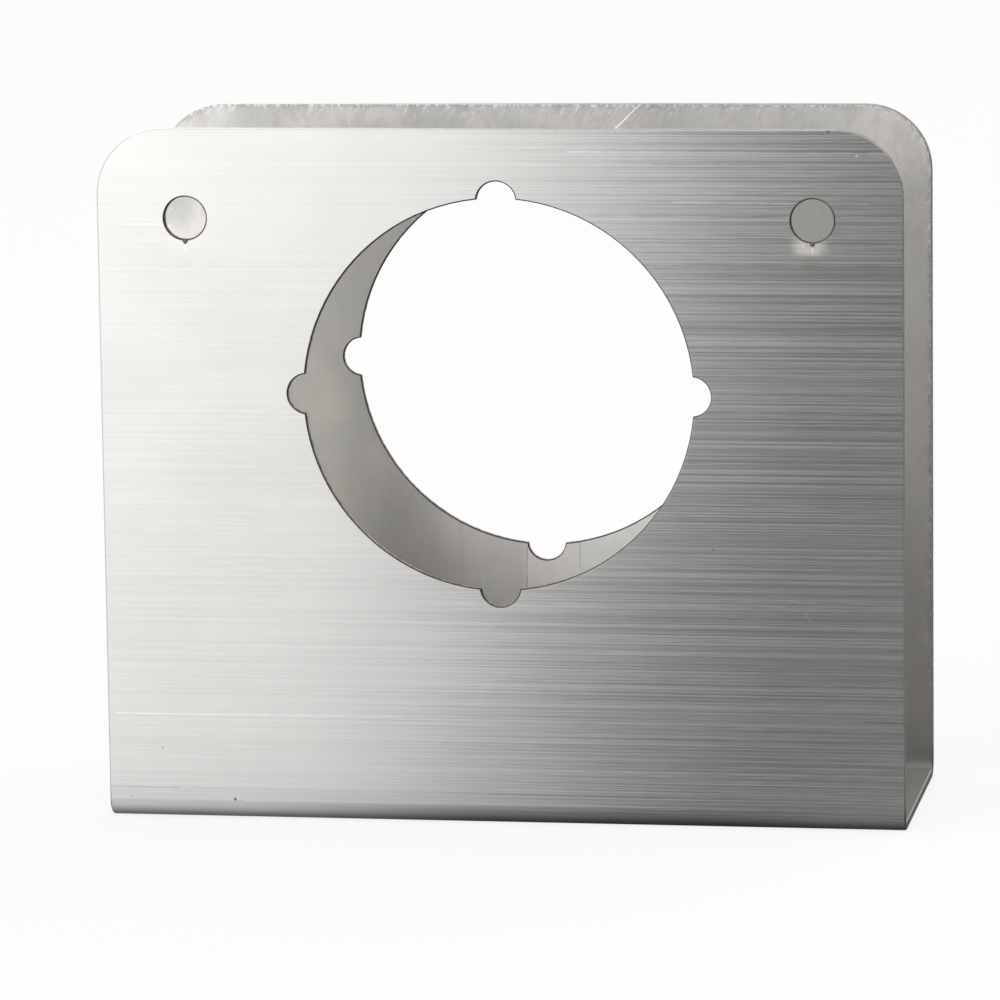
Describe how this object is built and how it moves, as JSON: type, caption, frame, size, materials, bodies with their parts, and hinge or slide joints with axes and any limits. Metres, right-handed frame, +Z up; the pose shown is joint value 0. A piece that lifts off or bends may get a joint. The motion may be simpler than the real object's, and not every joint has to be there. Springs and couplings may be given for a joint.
{
  "type": "wrap-around door lock cover plate",
  "caption": "U-shaped stainless cover plate that wraps a door's edge, with a notched round lock bore, corner screw holes and a latch opening.",
  "frame": {"origin": "centre of the underside of the web, which the plate stands on", "axes": "+X along the fold, +Y from the front flange to the back flange, +Z up the flanges to their free edges"},
  "size_m": [0.1142, 0.0428, 0.099],
  "materials": {
    "brushed_stainless": "horizontal brushed grain on the outer faces, dull mill finish inside, bevelled laser-cut edges with a brown heat tint at the lowest point of each screw hole"
  },
  "bodies": {
    "root": {"cover_plate": "brushed_stainless"}
  },
  "joints": []
}
